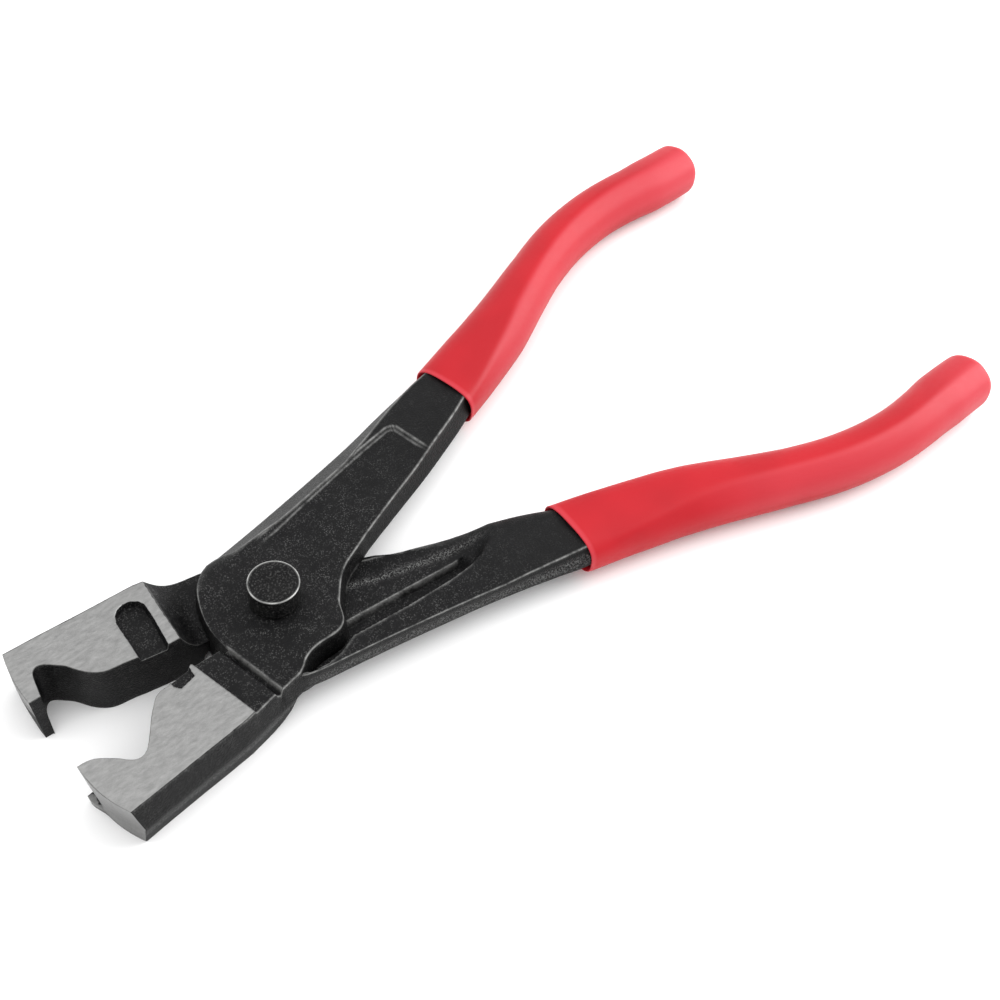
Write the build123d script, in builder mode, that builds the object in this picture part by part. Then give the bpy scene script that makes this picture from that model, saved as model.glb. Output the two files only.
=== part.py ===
"""Ear clamp pliers: two forged levers crossing on one rivet, each handle in a dipped grip.

Frame in mm: the tool lies flat. The origin is the middle of the rivet's rear face, on the rest
plane. X runs along the centre axis from the jaws to the grips, Y across, Z up. The two levers are
the same forging, one of them turned over about X, each with its own jaw.
"""
import math
import os

from build123d import *

os.makedirs("parts", exist_ok=True)

# Main sizes: reach of the handles past the joint, their spread, and the jaws
grip_base = 50.0
grip_reach = 106.0
grip_foot = 19.1
grip_spread = 26.0

# Levels
jaw_thickness = 12.0
joint_height = 6.0
plate_thickness = 5.0
neck_height = 5.4
handle_height = 4.0
running_gap = 0.04
edge_break = 0.4

# Rivet
shank_radius = 3.0
head_radius = 4.7
head_rise = 4.95
head_chamfer = 0.35
rear_head_radius = 5.2
rear_head_rise = 1.0
turning_clearance = 0.04
seat_clearance = 0.01

# Levers
front_ramp_x = 16.9
rear_ramp_x = 18.3
ramp_foot_x = 13.8
ramp_knee = 1.7
ramp_knee_height = 3.0
ramp_flat = 7.6
ramp_lean = 6.2
groove_width = 1.3
groove_depth = 1.3
groove_x = 12.1
groove_y = 10.6
groove_lean = 10.0
groove_length = 17.0
panel_depth = 0.6
slope_margin = 4.0
nose_lean = 5.0
top_fall_start = 30.0
top_fall = 1.3

# Upper jaw pocket
pocket_depth = 1.5

# Lower jaw nib pocket
nib_depth = 0.8

# Grips
grip_wall = 1.9
tip_round = 3.6
front_dip = 9.0
blade_overlap = 4.0

front = 1
rear = -1
outer = 1
inner = -1

# Where the front grip's mouth lies, and how far the flat handles are drawn before the grips cut them
front_grip_x = grip_base + front_dip
outer_end_x = front_grip_x + blade_overlap
inner_end_x = outer_end_x + blade_overlap


def half_plane(lever, half):
    """The joint plane seen from the outer or the inner face of the front or the rear lever."""
    return Plane(origin=(0, 0, joint_height), x_dir=(1, 0, 0), z_dir=(0, 0, lever * half))


def on(half, points):
    """Outline points as they lie on the outer (1) or the inner (-1) half plane."""
    return [(x, half * y) for x, y in points]


# Outlines of the front lever at the parting line, seen from above
plate_round = [(-8.6, 13.4), (-12.0, 6.2), (-12.9, 0.6), (-12.5, -3.0)]
outer_edge = [(-5.4, 16.3), (10, 18.9), (30, 22.7), (grip_base, 27.7), (outer_end_x, 31.3)]
front_inner_edge = [(inner_end_x, 16.7), (grip_base, 10.3), (41, 7.1), (26.7, 2.3), (22.2, 0.5)]
rear_inner_edge = [(inner_end_x, 18.4), (grip_base, 11.7), (41.6, 8.7), (29.1, 4.6), (22.2, 1.7)]
bay_edge = [(18.6, -0.8), (14.6, -2.8), (11.3, -6.0), (8.9, -9.6), (7.3, -12.3)]
lobe_edge = [(7.3, -12.3), (5.4, -13.5), (2.4, -13.6), (-0.4, -13.6), (-3.2, -14.8), (-5.7, -16.3)]
neck_edge = [(-5.7, -16.3), (-12.5, -17.5), (-18.3, -18.7)]
neck_side = [(-12.5, -3.0), (-16.8, -3.0), (-18.3, -18.7)]
neck_block = [(-18.3, -18.7), (-12.5, -17.5), (-10.9, -17.2), (-13.5, -2.4), (-18.6, -2.4)]
jaw_block = [(-50.0, -21.1), (-28.6, -19.7), (-18.3, -18.7), (-16.7, -18.4), (-18.6, -3.0), (-18.6, 2.0),
             (-50.0, 2.0)]
shoulder_edge = [(-5.4, 16.3), (-3.6, 15.9), (-0.4, 16.2), (2.6, 15.9), (6.4, 14.7)]
recess_edge = [(6.4, 14.7), (18.2, 15.6), (28, 16.1), (33.2, 15.8), (36.6, 13.8), (38.2, 10.6), (38.8, 7.8)]
panel_edge = [(4.0, 11.6), (15, 14.2), (30, 17.2), (42.0, 19.6), (43.6, 12.6), (44.4, 7.0), (24, -3), (6, 2)]

# Slopes of the walls: stations along an edge with the inset of the face's edge from the parting line
outer_slope = [(-9, 15.2, 2.6), (0, 17.2, 4.2), (12, 19.3, 5.0), (30, 22.7, 4.9), (45, 26.3, 2.9),
               (inner_end_x, 33.1, 2.0)]
inner_insets = [1.7, 1.6, 1.4, 0.9, 0.7]
jaw_slope = [(-50, -21.1, 0.9), (-28.6, -19.7, 0.9), (-18.3, -18.7, 0.8), (-12.5, -17.5, 0.8), (-9, -16.9, 0.8)]
back_outer_slope = [(-6, 16.2, 0.3), (10, 18.9, 0.5), (30, 22.7, 0.8), (grip_base, 27.7, 1.2),
                    (inner_end_x, 33.1, 1.3)]
back_inner_insets = [2.8, 2.9, 3.0, 3.2]

# Working profiles: the front lever's jaw, and the rear lever's jaw seen from its own side
front_wave = [(-45.2, -7.6), (-43.4, -7.8), (-40.5, -9.1), (-37.7, -11.7), (-36.3, -12.4), (-34.9, -12.0),
              (-32, -8.8), (-29, -5.3), (-26.6, -3.8), (-25.0, -3.8)]
front_lip = [(-25.0, -3.8), (-24.4, -3.3), (-20.6, -3.0), (-19.9, -2.6), (-19.2, -3.0)]
front_nose = [(-42.6, -21.6), (-44.3, -15.0), (-45.0, -10.6), (-45.2, -7.6)]
front_mouth = [(-19.2, -3.0), (-14.2, -3.0), (-14.2, 3.0), (-52, 3.0), (-52, -7.6), (-45.2, -7.6)]
nose_block = [(-45.2, -7.6), (-45.2, 3.0), (-54, 3.0), (-54, -21.6), (-42.6, -21.6)]
rear_wave = [(-41.9, -11.0), (-41.4, -12.6), (-40.4, -13.5), (-39.2, -13.1), (-36.5, -10.6), (-33.6, -6.6),
             (-30, -5.0), (-25.9, -4.2)]
rear_tip = [(-43.1, -21.6), (-44.9, -8.0), (-42.7, -7.9), (-41.9, -11.0)]
rear_mouth = [(-25.9, -4.2), (-20.5, -3.2), (-14.2, -3.0), (-14.2, 3.0), (-52, 3.0), (-52, -21.6), (-43.1, -21.6)]
nib_edge = [(-24.7, -3.0), (-23.7, -5.7), (-20.5, -5.1), (-20.2, -2.2), (-24.7, -1.4)]
pocket_edge = [(-20.6, -2.2), (-18.9, -12.5), (-20.0, -14.8), (-22.0, -15.4), (-24.2, -14.5), (-25.0, -12.5),
               (-25.95, -3.2), (-25.95, -2.2)]

# Centre line of the handles inside the grips, and the grips' half widths and half heights along it
centre_shares = [(0, 0), (0.094, 0.131), (0.189, 0.258), (0.283, 0.396), (0.377, 0.565), (0.472, 0.735),
                 (0.566, 0.877), (0.66, 0.965), (0.755, 1.0), (0.849, 0.988), (0.943, 0.985), (1.0, 0.992)]
front_start_share = 0.055
rear_start_share = 0.030
core_end_share = 0.965
core_lap_share = 0.005
grip_shares = [0, 0.14, 0.3, 0.45, 0.6, 0.74, 0.88, 1]
grip_widths = [8.2, 7.5, 6.7, 6.0, 5.8, 5.9, 6.2, 5.6]
grip_heights = [5.1, 5.6, 5.9, 5.9, 5.9, 5.9, 5.9, 5.7]


def grip_path(lever):
    """Centre line of the front or the rear handle inside its grip."""
    points = [(grip_base + grip_reach * u, lever * (grip_foot + grip_spread * v)) for u, v in centre_shares]
    return Spline(*[(x, y, joint_height) for x, y in points], mode=Mode.PRIVATE)


def across(path, share):
    """Plane across a handle at a share of its centre line."""
    return Plane(origin=path @ share, x_dir=(path % share).cross(Vector(0, 0, 1)), z_dir=path % share)


def grip_loft(lever, first, last, wall):
    """Loft of ellipses along a handle's centre line between two shares of it, inset by a wall."""
    path = grip_path(lever)
    with BuildPart() as lofted:
        for share, width, height in zip(grip_shares, grip_widths, grip_heights):
            with BuildSketch(across(path, first + (last - first) * share)):
                Ellipse(width - wall, height - wall)
        loft()
    return lofted.part


def dip_line(lever):
    """Plane of a grip's mouth: square to X on the front lever, square to the handle on the rear one."""
    if lever == front:
        return Plane(origin=(front_grip_x, 0, 0), x_dir=(0, 1, 0), z_dir=(1, 0, 0))
    return across(grip_path(rear), rear_start_share)


def slope_cutter(lever, half, stations, height, way):
    """Ruled wedge outside a sloping wall: way is 1 where the metal lies towards +Y, else -1."""
    with BuildPart() as wedge:
        for x, y, inset in stations:
            station = Plane(origin=(x, 0, joint_height), x_dir=(0, lever, 0), z_dir=(half, 0, 0))
            outside = y - way * slope_margin
            with BuildSketch(station):
                with BuildLine():
                    Polyline((y, 0), (y + 2 * way * inset, 2 * height), (outside, 2 * height), (outside, 0),
                             close=True)
                make_face()
        loft(ruled=True)
    return wedge.part


def lever_forging(lever, start_share):
    """One lever as forged: outer half with plate and panel, inner half with shoulder, jaw block."""
    outward = half_plane(lever, outer).offset(running_gap / 2)
    inward = half_plane(lever, inner).offset(-running_gap / 2)
    half_jaw = jaw_thickness / 2
    inner_edge = front_inner_edge if lever == front else rear_inner_edge
    ramp_x = front_ramp_x if lever == front else rear_ramp_x
    inner_slope = [(x, y, inset) for (x, y), inset in zip(inner_edge, inner_insets)]
    back_inner_slope = [(x, y, inset) for (x, y), inset in zip(inner_edge, back_inner_insets)]

    with BuildPart() as forging:
        # Outer half: plate, neck, bay, lobe and handle
        with BuildSketch(outward):
            with BuildLine():
                Spline(*plate_round)
                Polyline(*neck_side)
                Polyline(*reversed(neck_edge))
                Spline(*reversed(lobe_edge))
                Spline(*reversed([inner_edge[-1], *bay_edge]))
                Polyline(*reversed(inner_edge))
                Line(inner_edge[0], outer_edge[-1])
                Spline(*reversed(outer_edge))
                Line(outer_edge[0], plate_round[0])
            make_face()
        extrude(amount=plate_thickness - running_gap / 2)
        rim = forging.faces().filter_by(Plane.XY).sort_by(Axis.Z)[-1 if lever == front else 0].outer_wire()
        chamfer(rim.edges().filter_by(GeomType.BSPLINE).sort_by(Axis.X)[0], length=edge_break)
        add(slope_cutter(lever, outer, outer_slope, plate_thickness, -1), mode=Mode.SUBTRACT)
        add(slope_cutter(lever, outer, inner_slope, plate_thickness, 1), mode=Mode.SUBTRACT)

        # Outer face falling towards the grip
        fall = Plane(origin=(0, 0, joint_height), x_dir=(1, 0, 0), z_dir=(0, -lever, 0))
        with BuildSketch(fall):
            with BuildLine():
                Polyline((top_fall_start, plate_thickness), (inner_end_x, plate_thickness - top_fall),
                         (inner_end_x, 2 * plate_thickness), (top_fall_start, 2 * plate_thickness), close=True)
            make_face()
        extrude(amount=2 * grip_spread, both=True, mode=Mode.SUBTRACT)

        # Panel sunk in the outer face, open to the bay
        with BuildSketch(half_plane(lever, outer).offset(plate_thickness - panel_depth)):
            with BuildLine():
                Polyline(*panel_edge, close=True)
            make_face()
        extrude(amount=plate_thickness, mode=Mode.SUBTRACT)

        # Inner half: shoulder and full handle
        with BuildSketch(inward):
            with BuildLine():
                Spline(*on(inner, shoulder_edge))
                Spline(*on(inner, recess_edge))
                Polyline(*on(inner, [recess_edge[-1], *inner_edge[2::-1], outer_edge[-1]]))
                Spline(*on(inner, reversed(outer_edge)))
            make_face()
        extrude(amount=handle_height)
        add(slope_cutter(lever, inner, back_outer_slope, handle_height, -1), mode=Mode.SUBTRACT)
        add(slope_cutter(lever, inner, back_inner_slope, handle_height, 1), mode=Mode.SUBTRACT)

        # Jaw block and neck, outer half then inner half
        with BuildSketch(outward):
            with BuildLine():
                Polyline(*jaw_block, close=True)
            make_face()
        extrude(amount=half_jaw - running_gap / 2)
        with BuildSketch(outward):
            with BuildLine():
                Polyline(*neck_block, close=True)
            make_face()
        extrude(amount=neck_height - running_gap / 2)
        for block in (jaw_block, neck_block):
            with BuildSketch(inward):
                with BuildLine():
                    Polyline(*on(inner, block), close=True)
                make_face()
            extrude(amount=half_jaw + running_gap / 2)

        for half in (outer, inner):
            add(slope_cutter(lever, half, jaw_slope, half_jaw, 1), mode=Mode.SUBTRACT)

        # Ramp from the jaw down to the joint plane, clear of the other lever's plate
        ramp_length = ramp_x - ramp_foot_x
        leaning = half_plane(lever, inner).rotated((0, 0, -ramp_lean))
        slope = Plane(origin=leaning.from_local_coords((-ramp_x, 0, 0)), x_dir=leaning.x_dir, z_dir=leaning.y_dir)
        with BuildSketch(slope):
            with BuildLine():
                Polyline((0, -half_jaw), (ramp_knee, -ramp_knee_height), (ramp_length, 0),
                         (ramp_length + ramp_flat, 0), (ramp_length + ramp_flat, -jaw_thickness),
                         (0, -jaw_thickness), close=True)
            make_face()
        extrude(amount=grip_spread, both=True, mode=Mode.SUBTRACT)

        # Handle cut at the grip's mouth, with the core that carries the grip
        split(bisect_by=dip_line(lever), keep=Keep.BOTTOM)
        add(grip_loft(lever, start_share - core_lap_share, core_end_share, grip_wall))
    return forging.part


def grip_shell(lever, start_share):
    """Dipped grip: a lofted sleeve with a rounded closed end, hollow where the handle's core sits."""
    with BuildPart() as shell:
        add(grip_loft(lever, start_share, 1, 0))
        tip = shell.faces().sort_by(Axis.X)[-1]
        fillet(tip.edges(), radius=tip_round)
        add(grip_loft(lever, start_share - core_lap_share, core_end_share, grip_wall), mode=Mode.SUBTRACT)
        split(bisect_by=dip_line(lever), keep=Keep.TOP)
    return shell.part


# Front lever: forging, working profile of the lower jaw, convex nose, rivet hole, pockets
front_outer = half_plane(front, outer)
with BuildPart() as front_lever:
    add(lever_forging(front, front_start_share))
    with BuildSketch(front_outer.offset(-jaw_thickness)):
        with BuildLine():
            Spline(*front_wave)
            Polyline(*front_lip)
            Polyline(*front_mouth)
        make_face()
    extrude(amount=2 * jaw_thickness, mode=Mode.SUBTRACT)
    with BuildSketch(front_outer.offset(jaw_thickness / 2)):
        with BuildLine():
            Spline(*front_nose)
            Polyline(*nose_block)
        make_face()
    leaning_in = (math.sin(math.radians(nose_lean)), 0, -math.cos(math.radians(nose_lean)))
    extrude(amount=2 * jaw_thickness, dir=leaning_in, mode=Mode.SUBTRACT)
    with BuildSketch(front_outer.offset(jaw_thickness / 2 - nib_depth)):
        with BuildLine():
            Polyline(*nib_edge, close=True)
        make_face()
    extrude(amount=jaw_thickness, mode=Mode.SUBTRACT)
    with BuildSketch(front_outer.offset(neck_height - groove_depth)):
        with Locations((-groove_x, -groove_y)):
            Rectangle(groove_width, groove_length, rotation=groove_lean)
    extrude(amount=jaw_thickness, mode=Mode.SUBTRACT)
    with BuildSketch(front_outer.offset(-jaw_thickness)):
        Circle(shank_radius + turning_clearance)
    extrude(amount=2 * jaw_thickness, mode=Mode.SUBTRACT)
front_lever.part.label = "front_lever"
export_step(front_lever.part, "parts/front_lever.step")

# Rear lever: forging, working profile of the upper jaw with its hook, pocket in the jaw's face
rear_outer = half_plane(rear, outer)
rear_inner = half_plane(rear, inner)
with BuildPart() as rear_lever:
    add(lever_forging(rear, rear_start_share))
    with BuildSketch(rear_outer.offset(-jaw_thickness)):
        with BuildLine():
            Polyline(*rear_tip)
            Spline(*rear_wave)
            Polyline(*rear_mouth)
        make_face()
    extrude(amount=2 * jaw_thickness, mode=Mode.SUBTRACT)
    with BuildSketch(rear_inner.offset(jaw_thickness / 2 - pocket_depth)):
        with BuildLine():
            Polyline(*on(inner, pocket_edge), close=True)
        make_face()
    extrude(amount=jaw_thickness, mode=Mode.SUBTRACT)
    with BuildSketch(rear_outer.offset(-jaw_thickness)):
        Circle(shank_radius + seat_clearance)
    extrude(amount=2 * jaw_thickness, mode=Mode.SUBTRACT)
rear_lever.part.label = "rear_lever"
export_step(rear_lever.part, "parts/rear_lever.step")

# Rivet, turned: low rear head, shank, raised front head with a small chamfer
plate_top = joint_height + plate_thickness
head_seat = plate_top + running_gap
head_top = plate_top + head_rise
with BuildPart() as pivot_rivet:
    with BuildSketch(Plane.XZ):
        with BuildLine():
            Polyline((0, 0), (rear_head_radius, 0), (rear_head_radius, rear_head_rise),
                     (shank_radius, rear_head_rise), (shank_radius, head_seat), (head_radius, head_seat),
                     (head_radius, head_top - head_chamfer), (head_radius - head_chamfer, head_top),
                     (0, head_top), close=True)
        make_face()
    revolve(axis=Axis.Z)
pivot_rivet.part.label = "pivot_rivet"
export_step(pivot_rivet.part, "parts/pivot_rivet.step")

# Grips
front_grip = grip_shell(front, front_start_share)
front_grip.label = "front_grip"
export_step(front_grip, "parts/front_grip.step")

rear_grip = grip_shell(rear, rear_start_share)
rear_grip.label = "rear_grip"
export_step(rear_grip, "parts/rear_grip.step")
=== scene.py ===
"""Looks of the ear clamp pliers: two forged levers, their rivet and two red dipped grips.

Lengths in the tables are millimetres in the tool's own frame, whose z is 0 at the joint plane
between the levers. A front lever lies in that frame as it is; the rear lever is the same forging
turned over about X. Everything is put into the row frame, in metres, when its mesh is made.
"""
import math

import bpy
import numpy as np
from mathutils import Matrix


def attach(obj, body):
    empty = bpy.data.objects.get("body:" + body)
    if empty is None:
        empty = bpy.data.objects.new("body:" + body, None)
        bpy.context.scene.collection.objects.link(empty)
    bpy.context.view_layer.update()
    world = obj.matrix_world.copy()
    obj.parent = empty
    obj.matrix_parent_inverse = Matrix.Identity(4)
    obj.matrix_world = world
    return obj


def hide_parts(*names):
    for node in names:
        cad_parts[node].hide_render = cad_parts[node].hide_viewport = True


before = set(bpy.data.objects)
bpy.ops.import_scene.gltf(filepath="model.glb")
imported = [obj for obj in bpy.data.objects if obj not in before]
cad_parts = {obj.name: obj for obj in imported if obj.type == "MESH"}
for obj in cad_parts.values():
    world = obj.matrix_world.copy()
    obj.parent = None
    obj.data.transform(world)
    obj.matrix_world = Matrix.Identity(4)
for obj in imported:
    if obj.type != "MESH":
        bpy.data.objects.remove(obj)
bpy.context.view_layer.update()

MM = 0.001
JOINT_HEIGHT = 6.0


# ---------------------------------------------------------------- camera, floor and lights

def stand(name, data, right, up, back, place):
    """Puts a camera or a lamp into the scene by its three axes and its place in the row frame."""
    holder = bpy.data.objects.new(name, data)
    holder.matrix_world = Matrix(list(zip(right, up, back, place)) + [(0, 0, 0, 1)])
    bpy.context.scene.collection.objects.link(holder)
    return holder


def add_camera():
    """The photograph's camera."""
    camera = bpy.data.cameras.new("camera")
    camera.lens = 51.652
    camera.sensor_width = 36.0
    camera.clip_start = 0.01
    camera.clip_end = 10.0
    right = (0.743673, -0.665109, 0.067684)
    up = (0.488706, 0.609916, 0.623834)
    back = (-0.456199, -0.430851, 0.77862)
    place = (-0.079364, -0.127957, 0.226807)
    bpy.context.scene.camera = stand("camera", camera, right, up, back, place)


def add_light(name, place, aim, size, power):
    """A square soft light at a place, turned to an aim point."""
    lamp = bpy.data.lights.new(name, "AREA")
    lamp.size = size
    lamp.energy = power
    toward = np.array(aim) - np.array(place)
    toward = toward / np.linalg.norm(toward)
    side = np.cross(toward, (0, 0, 1))
    side = side / np.linalg.norm(side)
    stand(name, lamp, side, np.cross(side, toward), -toward, place)


def add_studio():
    """A pale floor, an even pale sky and soft lights, the strongest from the right."""
    floor = bpy.data.meshes.new("floor")
    reach = 3.0
    corners = [(-reach, -reach, 0), (reach, -reach, 0), (reach, reach, 0), (-reach, reach, 0)]
    floor.from_pydata(corners, [], [(0, 1, 2, 3)])
    plate = bpy.data.objects.new("floor", floor)
    bpy.context.scene.collection.objects.link(plate)
    paint = bpy.data.materials.new("floor_paper")
    paint.use_nodes = True
    shader = paint.node_tree.nodes["Principled BSDF"]
    shader.inputs["Base Color"].default_value = (0.93, 0.93, 0.93, 1)
    shader.inputs["Roughness"].default_value = 0.9
    shader.inputs["Specular IOR Level"].default_value = 0.1
    floor.materials.append(paint)

    world = bpy.data.worlds.new("studio")
    bpy.context.scene.world = world
    world.use_nodes = True
    world.node_tree.nodes["Background"].inputs["Color"].default_value = (1, 1, 1, 1)
    world.node_tree.nodes["Background"].inputs["Strength"].default_value = 1.1

    aim = (0.05, 0.0, 0.0)
    add_light("right", (0.74, -0.27, 0.45), aim, 0.60, 5.8)
    add_light("high_left", (-0.30, 0.45, 0.60), aim, 0.60, 0.8)
    add_light("overhead", (0.05, 0.05, 0.80), aim, 0.90, 2.0)


# ---------------------------------------------------------------- curves and meshes

def spline(knots, values, at):
    """Natural cubic spline: cubics between the knots whose first and second slopes agree."""
    x = np.asarray(knots, float)
    y = np.asarray(values, float)
    gap = np.diff(x)
    count = len(x)
    system = np.eye(count)
    inner = np.arange(1, count - 1)
    system[inner, inner - 1] = gap[:-1]
    system[inner, inner] = 2 * (gap[:-1] + gap[1:])
    system[inner, inner + 1] = gap[1:]
    spread = gap.reshape((-1,) + (1,) * (y.ndim - 1))
    slope = np.diff(y, axis=0) / spread
    right = np.zeros_like(y)
    right[1:-1] = 6 * np.diff(slope, axis=0)
    curve = np.linalg.solve(system, right)
    at = np.asarray(at, float)
    i = np.clip(np.searchsorted(x, at) - 1, 0, count - 2)
    shape = (-1,) + (1,) * (y.ndim - 1)
    h = gap[i].reshape(shape)
    a = ((x[i + 1] - at) / gap[i]).reshape(shape)
    b = 1 - a
    return a * y[i] + b * y[i + 1] + ((a**3 - a) * curve[i] + (b**3 - b) * curve[i + 1]) * h * h / 6


def soft(share):
    """Smooth step of a share t held to 0..1: 3t^2 - 2t^3."""
    share = np.clip(share, 0, 1)
    return share * share * (3 - 2 * share)


def step_at(distance, width):
    """Straight ramp from 0 to 1 over a width that starts where the distance is 0."""
    return np.clip(distance / width, 0, 1)


def bell(distance, width):
    """1 at distance 0, falling to 0 on both sides: exp(-(d/w)^2)."""
    return np.exp(-((distance / width) ** 2))


def lengths_along(points):
    """Length of a polyline from its start to each of its points."""
    return np.concatenate([[0], np.cumsum(np.hypot(*np.diff(points, axis=0).T))])


def make_piece(name, points, faces, material, body, node):
    """Puts points (mm, tool frame) and faces into a mesh that rides on a body in place of a CAD node."""
    mesh = bpy.data.meshes.new(name)
    moved = (np.asarray(points, float) + (0, 0, JOINT_HEIGHT)) * MM
    mesh.from_pydata(moved.tolist(), [], [tuple(f) for f in faces])
    mesh.validate()
    mesh.shade_smooth()
    mesh.materials.append(material)
    piece = bpy.data.objects.new(name, mesh)
    bpy.context.scene.collection.objects.link(piece)
    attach(piece, body)
    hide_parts(node)
    return piece


def mark_points(piece, name, values):
    """Stores one number per point, which the material reads as an attribute."""
    layer = piece.data.attributes.new(name, "FLOAT", "POINT")
    layer.data.foreach_set("value", np.ascontiguousarray(values, dtype=np.float32))


def ring_quads(rings, around):
    """Quads between rings of equal counts, as one array of corners."""
    r, k = np.meshgrid(np.arange(rings - 1), np.arange(around), indexing="ij")
    here, after = r * around + k, r * around + (k + 1) % around
    return np.stack([here, after, after + around, here + around], -1).reshape(-1, 4)


def tube_faces(rings, around):
    """Those quads, closed by one cap at each end."""
    first = list(range(around))
    last = [(rings - 1) * around + i for i in first]
    return ring_quads(rings, around).tolist() + [first[::-1], last]


# ---------------------------------------------------------------- materials

class Look:
    """A node material on Object coordinates.

    Where a node takes an input, another node's output is linked and anything else is a constant.
    """

    def __init__(self, name):
        self.material = bpy.data.materials.new(name)
        self.material.use_nodes = True
        self.tree = self.material.node_tree
        self.place = self.add("ShaderNodeTexCoord").outputs["Object"]

    def fill(self, node, inputs):
        """Links or sets a node's inputs."""
        for key, value in inputs.items():
            if isinstance(value, bpy.types.NodeSocket):
                self.tree.links.new(value, node.inputs[key])
            else:
                node.inputs[key].default_value = value

    def add(self, kind, inputs=None, **settings):
        """A new node with its settings and inputs."""
        node = self.tree.nodes.new(kind)
        for key, value in settings.items():
            setattr(node, key, value)
        self.fill(node, inputs or {})
        return node

    def shade(self, inputs):
        """Sets the shader's inputs and returns the finished material."""
        self.fill(self.tree.nodes["Principled BSDF"], inputs)
        return self.material

    def ramp(self, source, low, high, first=0.0, last=1.0):
        """Maps a value from low..high to first..last, held at both ends."""
        ends = {"From Min": low, "From Max": high, "To Min": first, "To Max": last, "Value": source}
        return self.add("ShaderNodeMapRange", ends).outputs["Result"]

    def noise(self, scale, detail, rough=0.5, place=None):
        """Noise of 0..1 over the Object coordinates or another place."""
        vector = self.place if place is None else place
        inputs = {"Scale": scale, "Detail": detail, "Roughness": rough, "Vector": vector}
        return self.add("ShaderNodeTexNoise", inputs).outputs["Fac"]

    def mark(self, name):
        """A number that the mesh stores per point."""
        return self.add("ShaderNodeAttribute", attribute_name=name).outputs["Fac"]

    def times(self, a, b, top=1.0):
        """Product of two shares, held to 0..1, times a top value."""
        product = self.add("ShaderNodeMath", {0: a, 1: b}, operation="MULTIPLY", use_clamp=True)
        return self.ramp(product.outputs["Value"], 0, 1, 0, top)

    def blend(self, share, low, high, kind="RGBA"):
        """Mix of two colours (RGBA) or two numbers (FLOAT) by a share."""
        socket, out = (6, 2) if kind == "RGBA" else (2, 0)
        inputs = {0: share, socket: low, socket + 1: high}
        return self.add("ShaderNodeMix", inputs, data_type=kind).outputs[out]

    def bump(self, height, strength, distance, under=None):
        """Normal of a relief, laid over another relief's normal if there is one."""
        inputs = {"Height": height, "Strength": strength, "Distance": distance}
        if under is not None:
            inputs["Normal"] = under
        return self.add("ShaderNodeBump", inputs).outputs["Normal"]


def vinyl():
    """Red dipped vinyl: satin gloss, faint waves from dipping, slight mottling, and painted light: paler pink
    where marked.
    """
    look = Look("dipped_vinyl")
    waves = look.noise(60.0, 2.0)
    skin = look.noise(900.0, 3.0)
    red = look.blend(look.ramp(waves, 0.35, 0.65), (0.37, 0.003, 0.009, 1), (0.43, 0.005, 0.012, 1))
    return look.shade({
        # Painted light: the paler pink paints the lit side past the crease, the lit ends and a highlight on
        # the lip's rim
        "Base Color": look.blend(look.mark("painted_light"), red, (0.50, 0.040, 0.055, 1)),
        "Roughness": look.ramp(skin, 0, 1, 0.42, 0.56),
        "Specular IOR Level": 0.22,
        "Subsurface Weight": 0.08,
        "Subsurface Scale": 0.002,
        "Subsurface Radius": (1.0, 0.25, 0.2),
        "Coat Weight": 0.06,
        "Coat Roughness": 0.25,
        "Normal": look.bump(skin, 0.06, 0.0001, look.bump(waves, 0.10, 0.0006)),
    })


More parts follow.
